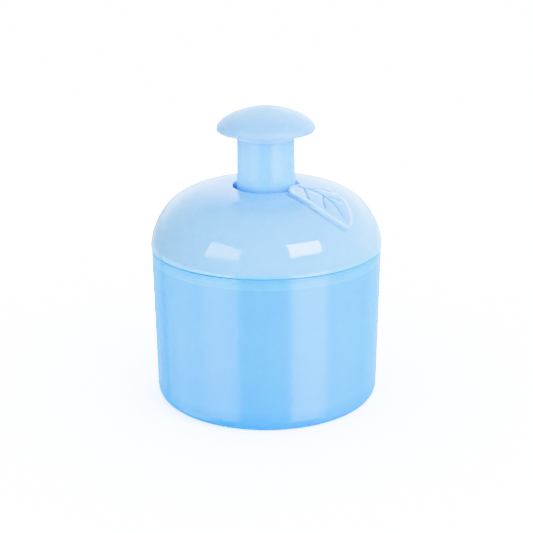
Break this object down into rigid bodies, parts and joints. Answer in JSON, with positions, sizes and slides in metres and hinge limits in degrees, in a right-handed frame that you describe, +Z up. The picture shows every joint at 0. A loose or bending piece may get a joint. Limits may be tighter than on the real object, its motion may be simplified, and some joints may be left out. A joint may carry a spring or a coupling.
{
  "type": "cleanser foam maker",
  "caption": "Palm-sized hand pump cup: a round knob on a sprung stem drives a netted disc inside a translucent cup under a domed push-fit lid with a leaf in relief.",
  "frame": {"origin": "centre of the cup's foot ring, on the surface it stands on", "axes": "+Z up along the cup, the lid and the knob; -Y faces the front, with the leaf on the lid between +X and -Y"},
  "size_m": [0.08, 0.08, 0.1031],
  "materials": {
    "pale_shell": "polished opaque pale blue polypropylene",
    "blue_translucent": "milky translucent light blue polypropylene, smooth",
    "spring_steel": "drawn stainless wire",
    "silicone": "clear milky silicone",
    "net": "woven monofilament nylon net"
  },
  "bodies": {
    "cup": {"cup": "blue_translucent"},
    "lid": {"lid_dome": "pale_shell", "lid_plug": "blue_translucent", "lid_seal_ring": "silicone", "return_spring": "spring_steel"},
    "plunger": {"knob_cap": "pale_shell", "stem_tube": "blue_translucent", "plunger_rod": "blue_translucent", "disc_upper_frame": "blue_translucent", "foam_net_upper": "net", "net_spacer": "blue_translucent", "foam_net_lower": "net", "disc_lower_frame": "blue_translucent", "disc_nut": "blue_translucent"}
  },
  "joints": [
    {"name": "lid_lift", "type": "slide", "parent": "cup", "child": "lid", "axis": [0, 0, 1], "range_m": [0, 0.06]},
    {"name": "plunger_press", "type": "slide", "parent": "lid", "child": "plunger", "axis": [0, 0, -1], "range_m": [0, 0.015], "stiffness_N_per_m": 230, "springref_m": -0.0069, "deforming": ["return_spring"]}
  ]
}
